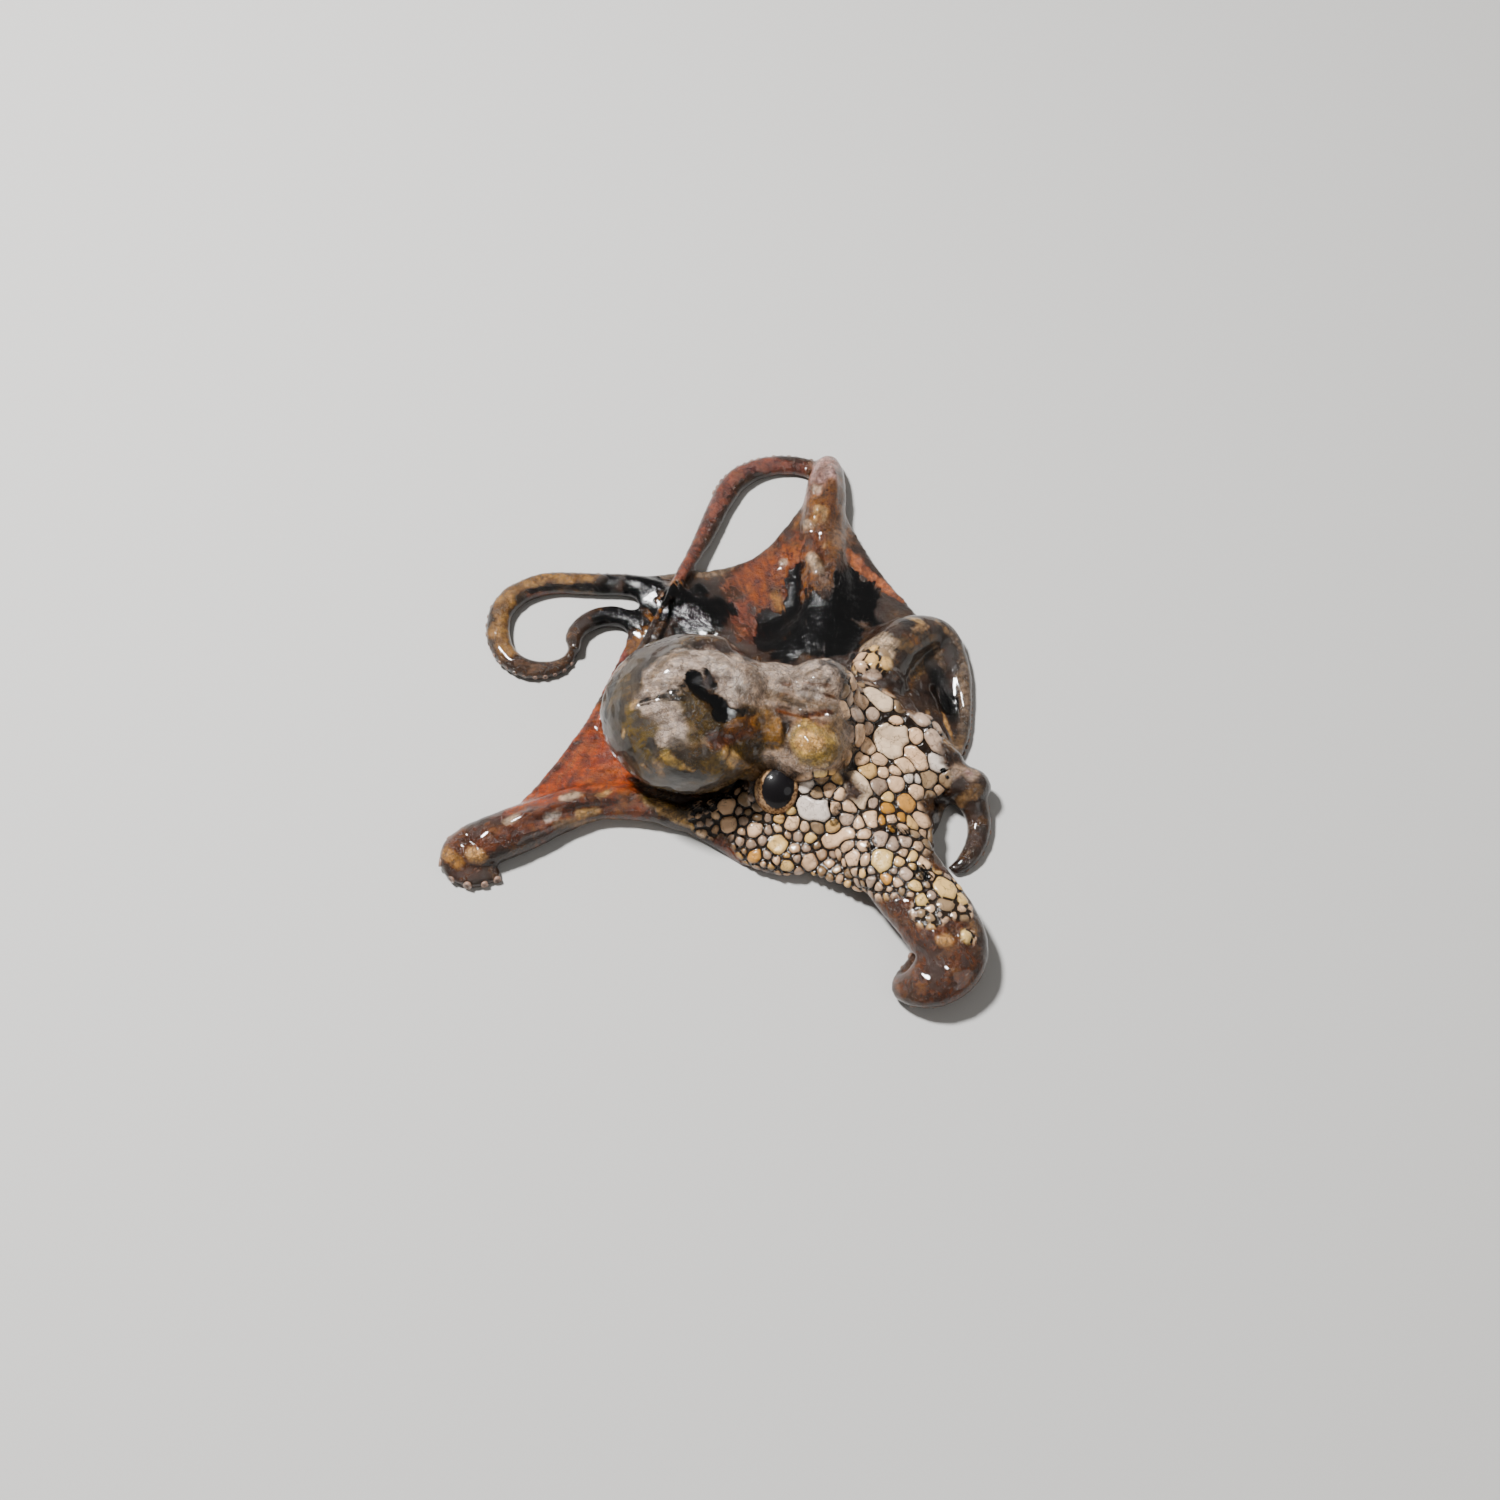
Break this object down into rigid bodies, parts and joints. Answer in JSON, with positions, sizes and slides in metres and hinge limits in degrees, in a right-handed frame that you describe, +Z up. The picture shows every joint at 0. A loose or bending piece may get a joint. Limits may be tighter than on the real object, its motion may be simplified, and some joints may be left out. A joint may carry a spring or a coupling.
{
  "type": "octopus",
  "caption": "Life-size still model of a young octopus resting with its bulbous mantle to one side and its webbed arms spread and curled at the tips.",
  "frame": {"origin": "middle of the footprint, on the surface the animal lies on", "axes": "+Z up; the mantle lies towards -X and the arm crown towards +X; the near side, with the right eye, faces -Y"},
  "size_m": [0.12, 0.1464, 0.0318],
  "materials": {
    "mantle": "wet, olive brown marbled with grey",
    "head": "wet, grey and amber",
    "crown": "wet, pale cobbles with dark cracks",
    "funnel": "wet, pale",
    "web": "wet, red brown and ink black",
    "arm": "wet, brown with cream spots",
    "eye": "wet, dark"
  },
  "bodies": {
    "root": {"mantle": "mantle", "head": "head", "eye_right": "eye", "eye_left": "eye", "funnel": "funnel", "crown": "crown", "arm_left1_root": "arm", "arm_left1_middle": "arm", "arm_left1_tip": "arm", "arm_left2_root": "arm", "arm_left2_middle": "arm", "arm_left2_tip": "arm", "arm_left3_root": "arm", "arm_left3_middle": "arm", "arm_left3_tip": "arm", "arm_left4_root": "arm", "arm_left4_middle": "arm", "arm_left4_tip": "arm", "arm_right1_root": "arm", "arm_right1_middle": "arm", "arm_right1_tip": "arm", "arm_right2_root": "arm", "arm_right2_middle": "arm", "arm_right2_tip": "arm", "arm_right3_root": "arm", "arm_right3_middle": "arm", "arm_right3_tip": "arm", "arm_right4_root": "arm", "arm_right4_middle": "arm", "arm_right4_tip": "arm", "web_left1_left2": "web", "web_left2_left3": "web", "web_left3_left4": "web", "web_left4_right4": "web", "web_right4_right3": "web", "web_right3_right2": "web", "web_right2_right1": "web", "web_right1_left1": "web"}
  },
  "joints": []
}
